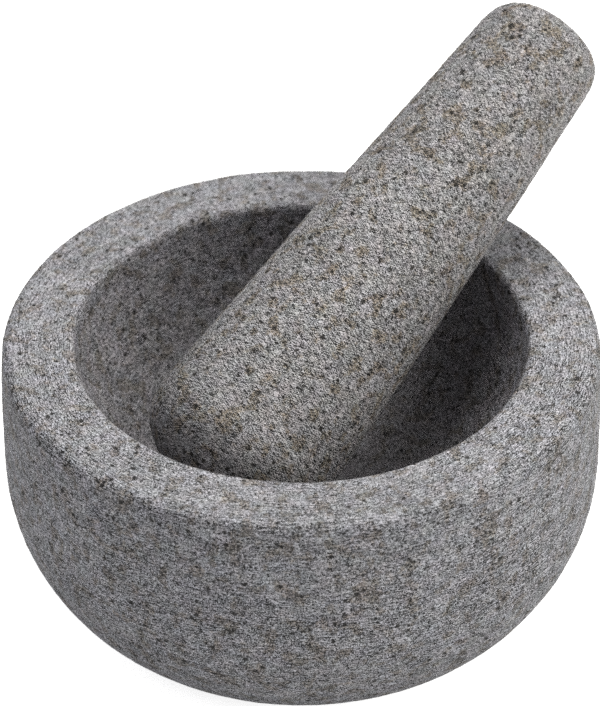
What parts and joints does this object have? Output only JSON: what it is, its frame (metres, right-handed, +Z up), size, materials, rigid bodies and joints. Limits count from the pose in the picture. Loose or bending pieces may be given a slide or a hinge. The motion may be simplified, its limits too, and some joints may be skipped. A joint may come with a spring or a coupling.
{
  "type": "molcajete mortar and pestle",
  "caption": "Thick-walled round stone mortar with a bowl-shaped hollow, and a loose tapered stone pestle leaning in it, for crushing and grinding spices and herbs.",
  "frame": {"origin": "centre of the mortar's flat base, where it stands on the table", "axes": "+Z up along the mortar's axis; the pestle lies in the XZ plane and leans towards +X"},
  "size_m": [0.1783, 0.152, 0.136],
  "materials": {
    "mortar_granite": "matte",
    "pestle_granite": "matte"
  },
  "bodies": {
    "mortar": {"mortar": "mortar_granite"},
    "pestle": {"pestle": "pestle_granite"}
  },
  "joints": [
    {"name": "pestle_lift", "type": "slide", "parent": "mortar", "child": "pestle", "axis": [0, 0, 1], "range_m": [0, 0.08]}
  ]
}
